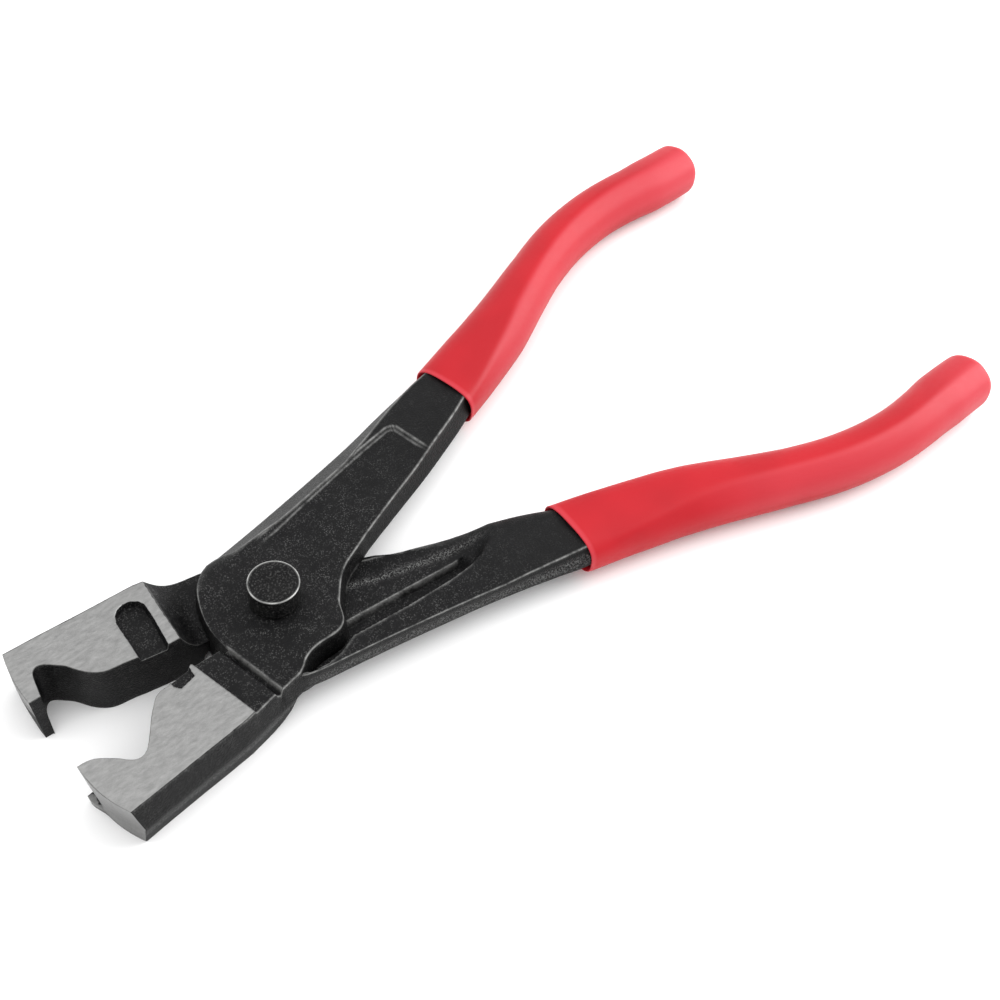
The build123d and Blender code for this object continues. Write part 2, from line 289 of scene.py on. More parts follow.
def lever_steel():
    """Black oxide forging with ground steel faces: marks on the mesh say where each kind of surface is, and
    where highlight and shade are painted.

    The oxide has a fine cast grain; scuffed edges with a painted highlight and flash bands show brighter
    steel through noise; walls are painted darker as shade; ground faces are light grey with a fine brushed
    grain.
    """
    look = Look("forged_lever_steel")
    grain = look.noise(3300.0, 1.0)
    cells = look.add("ShaderNodeTexVoronoi", {"Scale": 3000.0, "Vector": look.place}).outputs["Distance"]
    patch = look.noise(150.0, 4.0)
    speck = look.noise(520.0, 3.0, 0.7)
    stretch = {"Scale": (500.0, 1300.0, 900.0), "Rotation": (0.0, 0.0, 0.5), "Vector": look.place}
    brushed = look.noise(1.0, 5.0, 0.7, look.add("ShaderNodeMapping", stretch).outputs["Vector"])

    # Where the steel is ground, with a frayed edge, where edges are scuffed bright with a painted highlight,
    # and where flash was left
    fray = look.ramp(speck, 0.3, 0.7, 0, 0.6)
    frayed = look.add("ShaderNodeMath", {0: look.mark("ground"), 1: fray}, operation="ADD")
    ground = look.ramp(frayed.outputs["Value"], 0.75, 0.95)
    rubbed_and_highlight = look.times(look.mark("wear_and_highlight"), look.ramp(speck, 0.25, 0.60), 0.6)
    flashed = look.times(look.mark("band"), look.ramp(grain, 0.40, 0.66), 0.8)
    wall = look.mark("wall")

    # Oxide: patches of two blacks, cast dots that fade along the handle, and painted shade on the walls, a
    # flatter black
    along = look.add("ShaderNodeSeparateXYZ", {"Vector": look.place}).outputs["X"]
    dots = look.times(look.ramp(cells, 0.48, 0.15), look.ramp(along, 0.024, 0.046, 1.0, 0.25), 0.9)
    dots = look.times(dots, look.ramp(speck, 0.38, 0.66))
    oxide = look.blend(look.ramp(patch, 0.3, 0.7), (0.0015, 0.0015, 0.0018, 1), (0.004, 0.004, 0.0043, 1))
    oxide = look.blend(dots, oxide, (0.075, 0.075, 0.074, 1))
    oxide = look.blend(look.times(wall, look.ramp(patch, 0.0, 0.9), 0.8), oxide, (0.002, 0.002, 0.002, 1))
    oxide = look.blend(flashed, oxide, (0.19, 0.19, 0.187, 1))
    # Scuffed edges with a painted highlight: bright grey steel over the black
    oxide = look.blend(rubbed_and_highlight, oxide, (0.36, 0.36, 0.352, 1))

    # Ground steel: two greys in the brushed grain, and painted shade on its walls and on the nose
    silver = look.blend(look.ramp(brushed, 0.3, 0.7), (0.19, 0.19, 0.188, 1), (0.29, 0.29, 0.286, 1))
    silver = look.blend(look.times(wall, look.ramp(brushed, -0.5, 0.6)), silver, (0.125, 0.125, 0.123, 1))

    metal = look.blend(rubbed_and_highlight, 0.05, 0.85, "FLOAT")
    rough, shine = look.ramp(grain, 0, 1, 0.42, 0.62), look.ramp(brushed, 0, 1, 0.34, 0.48)
    relief = look.bump(look.blend(ground, grain, brushed, "FLOAT"), 0.6, 0.0002)
    return look.shade({
        "Base Color": look.blend(ground, oxide, silver),
        "Metallic": look.blend(ground, metal, 0.9, "FLOAT"),
        "Roughness": look.blend(ground, rough, shine, "FLOAT"),
        "Specular IOR Level": 0.15,
        "Normal": look.bump(flashed, 0.8, 0.0003, relief),
    })


def rivet_steel():
    """Blackened rivet: grainy dark head, scuffed bright on the rim with a painted highlight, where the mesh
    marks it.
    """
    look = Look("rivet_steel")
    grain = look.noise(2600.0, 2.0, 0.6)
    patch = look.noise(300.0, 3.0)
    rubbed_and_highlight = look.times(look.mark("wear_and_highlight"), look.ramp(patch, 0.25, 0.55))
    oxide = look.blend(look.ramp(patch, 0.3, 0.7), (0.001, 0.001, 0.0012, 1), (0.006, 0.006, 0.006, 1))
    dotted = look.blend(look.ramp(grain, 0.52, 0.70), oxide, (0.045, 0.045, 0.044, 1))
    return look.shade({
        "Base Color": look.blend(rubbed_and_highlight, dotted, (0.45, 0.45, 0.44, 1)),
        "Metallic": look.ramp(rubbed_and_highlight, 0, 1, 0.1, 0.9),
        "Roughness": look.ramp(grain, 0, 1, 0.38, 0.60),
        "Specular IOR Level": 0.12,
        "Normal": look.bump(grain, 0.5, 0.0002),
    })


# ---------------------------------------------------------------- grips

# Centre line of a handle inside its grip, seen on the front lever's side
GRIP_CENTRE = np.array([(44, 17.3), (50, 19.25), (60, 22.35), (70, 25.8), (80, 29.4), (90, 33.8), (100, 38.2),
                        (110, 41.9), (120, 44.2), (130, 45.1), (140, 44.8), (150, 44.7), (156.6, 44.9)])
GRIP_RUN = lengths_along(GRIP_CENTRE)
# Half widths, half heights and squareness of the section, by distance from the pivot along X
GRIP_STATIONS = [50, 60, 70, 80, 90, 100, 120, 130, 137, 142, 150, 157]
GRIP_HALF_WIDTH = [7.55, 7.45, 7.3, 7.0, 6.3, 5.8, 5.8, 5.85, 6.0, 6.3, 6.2, 6.0]
GRIP_HALF_HEIGHT = [4.75, 4.8, 5.4, 5.8, 5.9, 5.9, 5.9, 5.9, 5.9, 5.9, 5.8, 5.6]
GRIP_SQUARENESS = [2.9, 2.8, 2.45, 2.25, 2.15, 2.1, 2.1, 2.1, 2.1, 2.2, 2.3, 2.4]
# Where the crease along the grip lies round the section, in radians from its top, by X
CREASE_STATIONS, CREASE_ANGLES = [50, 62, 85, 150], [0.86, 0.75, 0.30, 0.05]
GRIP_COAT = 0.22
# Each grip's side and ends, its shift, added half width and lift near the mouth, and where its painted light
# starts
GRIPS = {
    "front": dict(side=1, mouth_x=59.1, mouth_turn=0.185, end_x=155.4, shift=0.0, widen=0.0, rise=0.25,
                  painted_light_x=52),
    "rear": dict(side=-1, mouth_x=53.8, mouth_turn=0.10, end_x=154.2, shift=0.8, widen=0.15, rise=0.05,
                 painted_light_x=75),
}


def centre_at(at):
    """Points of the grips' centre line at lengths from its start."""
    return spline(GRIP_RUN, GRIP_CENTRE, at)


def run_at(x, steps):
    """Length along the centre line where it reaches an X, read from its points at even steps."""
    fine = np.linspace(0, GRIP_RUN[-1], steps)
    return np.interp(x, centre_at(fine)[:, 0], fine)


def ahead_at(at):
    """Short steps along the centre line, which give its direction."""
    return centre_at(at + 0.05) - centre_at(at - 0.05)


def grip_skin(side, mouth_x, mouth_turn, end_x, shift, widen, rise, painted_light_x):
    """Superellipse sections carried along the handle's centre line.

    A section's point is (w |cos t|^(2/p), h |sin t|^(2/p)) with the signs of cos t and sin t, where w, h and
    p are the half width, half height and squareness at that place. The first section turns from the mouth's
    plane to square across the handle within 14 mm, and the end closes on a quarter ellipse. The points come
    with their painted light: the share of paler vinyl that paints the lit side past the crease, the lit end
    and a highlight on the lip's rim.
    """
    around, along, end_rings, lip_rings = 96, 150, 14, 8
    end_length, turn_length, last_bend = 2.8, 14, 1.45
    start, finish = run_at(mouth_x, 800), run_at(end_x, 800)
    body = np.linspace(start, finish - end_length, along)
    bend = np.linspace(0, last_bend, end_rings + 1)[1:]
    at = np.concatenate([body, finish - end_length + end_length * np.sin(bend)])
    shrink = np.concatenate([np.ones(along), np.cos(bend) ** 0.5])
    centre = centre_at(at)
    centre[:, 1] += shift * np.clip((75 - centre[:, 0]) / 20, 0, 1)
    heading = np.arctan2(*ahead_at(at).T[::-1])
    heading = heading + (mouth_turn - heading) * np.clip(1 - (at - start) / turn_length, 0, 1) ** 2
    lift = rise * np.clip((66 - centre[:, 0]) / 10, 0, 1)
    wide = np.interp(centre[:, 0], GRIP_STATIONS, GRIP_HALF_WIDTH)
    wide = (wide + widen * np.clip((64 - centre[:, 0]) / 10, 0, 1)) * shrink
    high = (np.interp(centre[:, 0], GRIP_STATIONS, GRIP_HALF_HEIGHT) - lift) * shrink
    power = np.interp(centre[:, 0], GRIP_STATIONS, GRIP_SQUARENESS)

    # The lip at the mouth: the section shrinks by the coat on a quarter circle, then runs inside
    roll = np.linspace(np.pi / 2, 0, lip_rings)
    inset = np.concatenate([[1.3, 1.0], GRIP_COAT * (1 - np.cos(roll))])
    back = np.concatenate([[5.0, 1.0], GRIP_COAT * (1 - np.sin(roll))])
    inside = np.zeros(len(back), int)
    lip_centre = centre[0] + back[:, None] * (np.cos(mouth_turn), np.sin(mouth_turn))
    centre = np.concatenate([lip_centre, centre[1:]])
    wide = np.concatenate([wide[0] - inset, wide[1:]])
    high = np.concatenate([high[0] - inset, high[1:]])
    heading, power, lift = (np.concatenate([row[inside], row[1:]]) for row in (heading, power, lift))

    # Round the section: a crease with a faint ridge, and painted light: paler past the crease on the lit
    # side, at the lit end, and as a highlight on the lip
    angle = np.linspace(0, 2 * np.pi, around, endpoint=False)[None, :]
    c, s = np.cos(angle), np.sin(angle)
    from_top = side * (angle - np.pi / 2)
    past = from_top - np.interp(centre[:, 0], CREASE_STATIONS, CREASE_ANGLES)[:, None]
    ridge = 1 + 0.06 * bell(past, 0.28) * soft((centre[:, 0] - 55) / 12)[:, None]
    below = soft((past + 0.12) / 0.24) * soft((np.pi / 2 + 0.25 - from_top) / 0.5)
    near_end = soft((centre[:, 0] - 122) / 42)[:, None]
    # Painted light: the lit side past the crease and the lit end are paler
    painted_light = np.clip(below * soft((centre[:, :1] - painted_light_x) / 25) * 0.55 + near_end * 0.7, 0, 1)
    hidden = len(back) - lip_rings + 1
    painted_light[:hidden] = 0
    # Painted highlight on the lip's rim
    painted_light[hidden:hidden + lip_rings] = 0.6
    across = np.sign(c) * np.abs(c) ** (2 / power[:, None]) * wide[:, None] * ridge
    up = np.sign(s) * np.abs(s) ** (2 / power[:, None]) * high[:, None] * ridge
    x = centre[:, :1] - np.sin(heading)[:, None] * across
    y = centre[:, 1:] + np.cos(heading)[:, None] * across
    points = np.stack([x, side * y, up + side * lift[:, None]], -1).reshape(-1, 3)
    faces = tube_faces(len(centre), around)
    if side < 0:
        faces = [f[::-1] for f in faces]
    return points, faces, painted_light.reshape(-1)


# ---------------------------------------------------------------- levers

# One lever's outline at the parting line, in runs from the nose to the grip: the steps of a run, its edge
# with the smaller y (low) and its edge with the larger y (high), each a straight line or a curve.
PLATE_RUNS = [
    (54, [(-12.5, -17.5), (-9, -16.9), (-5.7, -16.3)], "line",
     [(-12.6, -3.0), (-12.9, 0.6), (-12.0, 6.2), (-10.5, 10.2), (-8.6, 13.2), (-6.9, 14.9), (-5.0, 16.05)],
     "curve"),
    (104, [(-5.7, -16.3), (-4.5, -15.7), (-3.2, -14.8), (-0.4, -13.7), (2.4, -13.6), (5.2, -13.4),
           (7.4, -12.0), (8.9, -9.4), (11.3, -6.0), (14.6, -2.8), (18.6, -0.8), (22.2, 0.8)], "curve",
     [(-5.0, 16.05), (-2.5, 16.8), (0, 17.25), (10, 18.9), (24, 21.5)], "curve"),
]
FRONT_HANDLE = [
    (62, [(22.2, 0.8), (26.7, 2.4), (34, 4.9), (41, 7.3), (45.2, 8.85)], "curve",
     [(24, 21.5), (30, 22.7), (40, 25.05), (42.0, 25.6)], "curve"),
    (44, [(45.2, 8.85), (50, 10.75), (57, 13.65), (61.5, 15.85)], "curve",
     [(42.0, 25.6), (50, 27.5), (56, 28.7), (59.5, 29.3)], "curve"),
]
REAR_HANDLE = [
    (52, [(22.2, 0.8), (25, 2.6), (29.1, 4.4), (35, 6.5), (41.6, 8.75)], "curve",
     [(24, 21.5), (30, 22.7), (40, 25.05)], "curve"),
    (48, [(41.6, 8.75), (47.5, 10.8), (53, 13.25), (56.5, 15.05)], "curve",
     [(40, 25.05), (48, 27.2), (52, 28.2), (55, 28.9)], "curve"),
]
FRONT_JAW = [
    (86, [(-42.2, -21.1), (-28.6, -19.7), (-24.0, -19.3)], "line",
     [(-45.0, -7.7), (-43.5, -7.8), (-42, -8.3), (-40.5, -9.1), (-39, -10.3), (-37.7, -11.7), (-36.3, -12.4),
      (-35, -12.1), (-33.7, -10.9), (-32, -8.8), (-30.5, -6.9), (-29, -5.3), (-27.7, -4.2), (-26.5, -3.85),
      (-25, -3.8)], "curve"),
    (26, [(-24.0, -19.3), (-18.3, -18.7)], "line",
     [(-25, -3.8), (-24.4, -3.3), (-20.6, -3.0), (-19.8, -2.6), (-19.2, -3.0)], "line"),
    (34, [(-18.3, -18.7), (-12.5, -17.5)], "line", [(-19.2, -3.0), (-12.6, -3.0)], "line"),
]
REAR_JAW = [
    (10, [(-43.0, -20.5), (-41.7, -20.4)], "line", [(-44.9, -8.0), (-42.7, -7.9)], "line"),
    (30, [(-41.7, -20.4), (-37.0, -20.1)], "line",
     [(-42.7, -7.9), (-42.1, -10.4), (-41.6, -12.3), (-41.1, -13.1), (-40.3, -13.5), (-39.4, -13.3),
      (-38, -12.2)], "curve"),
    (46, [(-37.0, -20.1), (-28.6, -19.4), (-24.0, -19.1)], "line",
     [(-38, -12.2), (-36.5, -10.6), (-35, -8.2), (-33.5, -6.5), (-32, -5.5), (-30, -5.0), (-28, -4.7),
      (-25.9, -4.2)], "curve"),
    (54, [(-24.0, -19.1), (-18.3, -18.7)], "line", [(-25.9, -4.2), (-20.5, -3.2), (-18.0, -3.0)], "line"),
    (28, [(-18.3, -18.7), (-12.5, -17.5)], "line", [(-18.0, -3.0), (-12.6, -3.0)], "line"),
]
# Wall draft (how far the face's edge lies inside the parting line) and edge rounding, by X, for the outer
# face's low and high edge and the inner face's low and high edge
DRAFTS = [
    [(-43, 1.1), (-24, 0.9), (-5.7, 0.9), (-3, 1.0), (9, 0.9), (22, 0.7), (41, 1.4), (50, 1.6), (60, 1.7)],
    [(-42, -0.4), (-40, 0.0), (-19, 0.0), (-13, 0.2), (-11.5, 0.35), (-9, 0.8), (-5, 2.0), (0, 4.2),
     (12, 5.0), (30, 4.9), (45, 2.9), (53.5, 2.2), (60, 2.0)],
    [(-43, 1.1), (-24, 0.9), (-14, 0.8), (-9, 0.1), (18, 0.1), (24, 0.3), (34, 0.9), (44, 1.8), (60, 2.0)],
    [(-19, 0.0), (-12, 0.1), (35, 0.2), (50, 1.6), (60, 2.3)],
]
ROUNDINGS = [
    [(-43, 0.3), (60, 0.4)],
    [(-19, 0.12), (-13, 0.2), (-10, 0.3), (-8, 1.6), (-4, 2.6), (0, 0.9), (3, 0.4), (60, 0.4)],
    [(-43, 0.3), (24, 0.3), (34, 0.9), (44, 1.5), (60, 1.4)],
    [(-19, 0.12), (-12, 0.2), (60, 0.35)],
]

# Heights of the faces from the joint plane, and how far the handle's two faces fall towards the grip
PLATE_FACE = 5.0
JAW_FACE = 6.0
HANDLE_BACK = 4.0
HANDLE_FALL = 1.0
HANDLE_BACK_FALL = 0.3
# Heights and depths of the worked forms, from the face around them
NECK_RISE = 0.4
JAW_RISE = 0.6
PANEL_DEPTH = 0.6
GROOVE_DEPTH = 1.4
NIB_DEPTH = 0.8
POCKET_DEPTH = 1.5
RECESS_DEPTH = 1.9
# Inner faces that lie against the other lever's plate stay this far from the joint plane
PLANE_GAP = 0.02
# On the nose: its hollow, the hook's undercut, the undercut over the lower jaw's lip, and that lip
NOSE_HOLLOW = 0.35
HOOK_UNDERCUT = 0.6
LIP_UNDERCUT = 1.4
LIP_OUT = 0.95

# Closed outlines on the faces, then lines on the inner face
PANEL = [(-12, 8.7), (5.5, 12.9), (15, 15.0), (30, 17.8), (41.6, 19.9), (42.8, 19.7), (43.5, 18.9),
         (44.8, 12.5), (46.5, 4), (20, -16), (-12, -18)]
RECESS = [(-8, -25), (-8, 14), (-4.6, 15.2), (-3.6, 15.9), (-0.4, 16.2), (2.6, 15.9), (6.4, 14.4),
          (18.2, 15.6), (28, 16.1), (32.9, 15.9), (35.9, 14.9), (37.6, 12.8), (38.6, 10.6), (40.5, 7.0),
          (42, 2), (42, -25)]
NIB = [(-24.6, -2.0), (-24.5, -4.5), (-23.7, -5.7), (-20.5, -5.0), (-20.2, -2.0)]
POCKET = [(-20.6, -1.5), (-19.1, -10.5), (-18.9, -13.0), (-19.4, -14.2), (-20.5, -15.1), (-22.0, -15.4),
          (-23.4, -15.0), (-24.4, -14.1), (-24.95, -12.6), (-25.9, -4.2), (-26.1, -1.5)]
RIDGE = [(6.0, 9.1), (20.0, 10.4), (33.7, 11.8)]
DOTTED = [(9, -1.5), (13, 3.0), (20, 5.5), (25, 7.0), (30, 8.3), (35, 9.8), (40, 11.4)]
# These three are (y, x) pairs with falling y: the jaws' back edges, and the clear round of the other plate
JAW_BACK = [(-2.0, -19.5), (-3.0, -19.3), (-8.5, -18.2), (-12.5, -17.4), (-16.2, -16.7), (-20.0, -16.0)]
REAR_JAW_BACK = [(-2.0, -18.2), (-3.0, -18.1), (-14.0, -16.9), (-16.8, -16.5), (-20.0, -16.1)]
ROUND_GAP = [(0, -13.3), (-3, -13.2), (-6.2, -12.8), (-10, -11.4), (-13.4, -9.4), (-16.3, -7.2), (-19, -5.0)]

# Shares of the inner walls' height at which their rows lie, closer together where the nose has its slot
INNER_SHARES = [0, 0.2, 0.4, 0.56, 0.65, 0.82, 0.90]
# Wear and painted highlight of the points on the rounded edge between a wall and its face
EDGE_WEAR_AND_HIGHLIGHT = [0.1, 0.7, 1, 0.35]


def on_line(points, steps, kind):
    """Evenly spaced points on a polyline, or on the spline through its points, without the last one."""
    points = np.array(points, float)
    run = lengths_along(points)
    if kind == "curve":
        points = spline(run, points, np.linspace(0, run[-1], 60 * len(points)))
        run = lengths_along(points)
    at = np.linspace(0, run[-1], steps + 1)[:-1]
    return np.column_stack([np.interp(at, run, points[:, 0]), np.interp(at, run, points[:, 1])])


def gap_to(x, y, line):
    """Distance from each point to a polyline: the least of its distances to the line's pieces."""
    here = np.stack([x, y], -1)[..., None, :]
    start, step = np.array(line[:-1], float), np.diff(np.array(line, float), axis=0)
    share = np.clip(((here - start) * step).sum(-1) / (step**2).sum(-1), 0, 1)
    return np.sqrt(((here - start - share[..., None] * step) ** 2).sum(-1)).min(-1)


def depth_in(x, y, outline):
    """Distance to a closed outline, positive inside it: an odd count of edges crossed means inside."""
    ring = np.array(list(outline) + [outline[0]], float)
    ax, ay, bx, by = ring[:-1, 0], ring[:-1, 1], ring[1:, 0], ring[1:, 1]
    px, py = x[..., None], y[..., None]
    at_x = (bx - ax) * (py - ay) / np.where(by == ay, 1, by - ay) + ax
    crossed = ((ay > py) != (by > py)) & (px < at_x)
    side = np.where(crossed.sum(-1) % 2 == 1, 1, -1)
    return side * gap_to(x, y, ring.tolist())


def y_on(line, x):
    """y of a line that is given as (x, y) pairs with rising x."""
    return np.interp(x, *np.array(line).T)


def x_on(line, y):
    """x of a line that is given as (y, x) pairs with falling y."""
    return y_on(line[::-1], y)


def groove_line(x, y):
    """Signed distance from the middle of the neck's groove, which leans 10 degrees from the Y axis."""
    lean = math.radians(10.1)
    return (x + 12.05) * math.cos(lean) + (y + 10.5) * math.sin(lean)


def outer_face(x, y, lever):
    """Height and marks of the outer face: plate and handle, sunk panel, grooved neck, raised jaw.

    The marks are the shares of ground steel, scuffed edge with painted highlight and rough flash band.
    """
    face = PLATE_FACE - HANDLE_FALL * np.clip((x - 30) / 30, 0, 1)
    fade = soft((x - 4.0) / 6) * soft((np.hypot(x - 46, y - 8.5) - 1.0) / 5)
    wall = 1.1 - 0.5 * np.clip((x - 12) / 25, 0, 1)
    into = depth_in(x, y, PANEL)
    face = face - PANEL_DEPTH * step_at(into, wall) * fade
    # Painted highlights, with some wear, along the panel's outline and the foot of its wall
    edge = (bell(into + 0.05, 0.18) + 0.6 * bell(into - wall, 0.18)) * fade * soft((y + 2) / 6)
    along = groove_line(x, y)
    reach = soft((-2.6 - y) / 0.8)
    face = face + NECK_RISE * soft(-along / 0.4 + 0.5) * soft((-6.0 - x) / 2)
    face = face - GROOVE_DEPTH * np.exp(-((along / 0.68) ** 4)) * reach
    # Painted highlight, with some wear, along the groove's bank on the plate's side
    edge = edge + 1.4 * bell(along - 0.75, 0.2) * reach
    back = x_on(JAW_BACK if lever > 0 else REAR_JAW_BACK, y)
    face = face + JAW_RISE * step_at(back - x, 0.2)
    shore = np.interp(x, [-43, -37, -30, -20], [-19.8, -19.5, -18.7, -17.9])
    ground = step_at(back - x, 0.15) * step_at(y - shore + 0.8, 1.0)
    if lever > 0:
        nib = depth_in(x, y, NIB)
        face = face - NIB_DEPTH * step_at(nib, 0.25)
        ground = ground * (1 - step_at(nib, 0.1))
    return face, ground, edge, np.zeros_like(x)


def inner_face(x, y, lever):
    """Depth and marks of the inner face: jaw, neck down to the joint plane, recess, shoulder, handle."""
    back = x_on(REAR_JAW_BACK, y)
    clear = x_on(ROUND_GAP, y)
    ground = step_at(back - x, 0.15)
    # Painted highlight, with some wear, along the back edge of the jaw's face
    edge = 0.35 * bell(x - back - 0.1, 0.18)
    if lever < 0:
        share = np.clip((x - back) / (clear - back), 0, 1)
        pocket = depth_in(x, y, POCKET)
        jaw = JAW_FACE * (1 - share) ** 2.3 - POCKET_DEPTH * soft(pocket / 0.5)
        ground = ground * (1 - step_at(pocket, 0.12))
    else:
        back = back + 1.3 + 0.6 * np.clip((-y - 3) / 14, 0, 1)
        share = np.clip((x - back) / (clear - back), 0, 1)
        jaw = JAW_FACE * (1 - share**1.7)
    into = depth_in(x, y, RECESS)
    ridge = gap_to(x, y, RIDGE)
    reach = soft((x - 5) / 2) * soft((35.4 - x) / 2)
    floor = -PLANE_GAP - RECESS_DEPTH * step_at(ridge, 0.35) * reach * (y > y_on(RIDGE, x))
    far = y_on(DOTTED, x) - y
    floor = floor - 0.15 * np.clip(far, 0, 5) * soft((x - 10) / 4) * soft((26 - x) / 6)
    floor = floor + 0.52 * np.clip(far, 0, 4) * soft((x - 23) / 8)
    width = 0.5 + 12.0 * soft((16.5 - y) / 6) * soft((x - 27) / 8)
    rise = soft(0.5 - into / width)
    handle = HANDLE_BACK - HANDLE_BACK_FALL * np.clip((x - 40) / 20, 0, 1)
    handle = floor + (handle - floor) * rise * soft((x + 7.5) / 2)
    beyond_neck = x > -6.5
    # Painted highlights, with some wear, on the ridge line and along the recess's shoulder
    shoulder = bell(into + 0.5 * width, 0.3) * soft((y - 11) / 3) * soft((35 - x) / 3)
    edge = np.where(beyond_neck, 1.3 * bell(ridge, 0.17) * reach + 0.7 * shoulder, edge)
    band = bell(far, 0.7) * soft((x - 9) / 3) * (1 - rise)
    height = np.where(beyond_neck, handle, np.maximum(jaw, -PLANE_GAP))
    return height, ground * ~beyond_neck, edge, band * beyond_neck


def wall_rows(draft, bend, height, shares, arcs):
    """A wall from the parting line to its face: a straight draft, then a quarter-ellipse edge."""
    up = np.minimum(bend, 0.8 * np.abs(height))
    sign = np.where(height < 0, -1.0, 1.0)
    foot = draft * (1 - up / np.maximum(np.abs(height), 1e-3)).clip(0, 1)
    share = shares[:, None]
    turn = np.arange(arcs)[:, None] / arcs * np.pi / 2
    inward = np.concatenate([foot * share, foot + (draft + bend - foot) * (1 - np.cos(turn))])
    rising = np.concatenate([(height - sign * up) * share, height - sign * up + sign * up * np.sin(turn)])
    return inward, rising, draft + bend


def nose_patch(first, wall, counts, offset, lever):
    """The nose as a Coons patch between the first station's face lines and wall lines, with its faces.

    Its rows go from the outer face's line down to the inner face's line. The points on its border are the
    station's own; the ones within it are new, and are numbered from the offset.
    """
    top_count, low_count = counts
    around = len(first)
    columns = min(counts)
    base = 3 * wall + top_count
    upper = wall + np.arange(columns + 1) * (top_count // columns)
    lower = base + low_count - np.arange(columns + 1) * (low_count // columns)
    low_side = np.concatenate([np.arange(wall, -1, -1), np.arange(around - 1, around - wall, -1),
                               lower[:1]])
    high_side = np.arange(wall + top_count, base + 1)
    rows = len(low_side)

    u = np.linspace(0, 1, columns + 1)[None, :, None]
    fall = first[low_side, 2] - first[low_side[0], 2]
    v = (fall / fall[-1])[:, None, None]
    t, s, m, n = first[upper][None], first[lower][None], first[low_side][:, None], first[high_side][:, None]
    corners = ((1 - u) * (1 - v) * t[:, :1] + u * (1 - v) * t[:, -1:]
               + (1 - u) * v * s[:, :1] + u * v * s[:, -1:])
    patch = (1 - v) * t + v * s + (1 - u) * m + u * n - corners
    u, v, z = u[..., 0], v[..., 0], patch[..., 2]
    patch[..., 0] -= NOSE_HOLLOW * np.sin(np.pi * u) * np.sin(np.pi * v)
    patch[..., 3:] = 0
    patch[..., 3] = nose_ground(u, v, z, lever)
    # Painted shade on the nose: darker from halfway towards the inner face, except on the lower jaw's lip
    patch[..., 6] = 0.9 * soft(v / 0.5) * (1 - soft((-3.5 - z) / 0.3) * soft((u - 0.66) / 0.2))
    if lever > 0:
        patch[..., 0] += lip_shift(u, z)

    index = np.zeros((rows, columns + 1), int)
    index[0], index[-1], index[:, 0], index[:, -1] = upper, lower, low_side, high_side
    index[1:-1, 1:-1] = np.arange((rows - 2) * (columns - 1)).reshape(rows - 2, columns - 1) + offset
    quads = np.stack([index[:-1, :-1], index[:-1, 1:], index[1:, 1:], index[1:, :-1]], -1)
    # The face with more columns has one more point between two of the patch's
    if top_count > low_count:
        border, rest = np.insert(quads[0], 1, quads[0][:, 0] + 1, axis=1), quads[1:]
    else:
        border, rest = np.insert(quads[-1], 3, quads[-1][:, 2] + 1, axis=1), quads[:-1]
    return patch[1:-1, 1:-1].reshape(-1, 7), border.tolist() + rest.reshape(-1, 4).tolist()


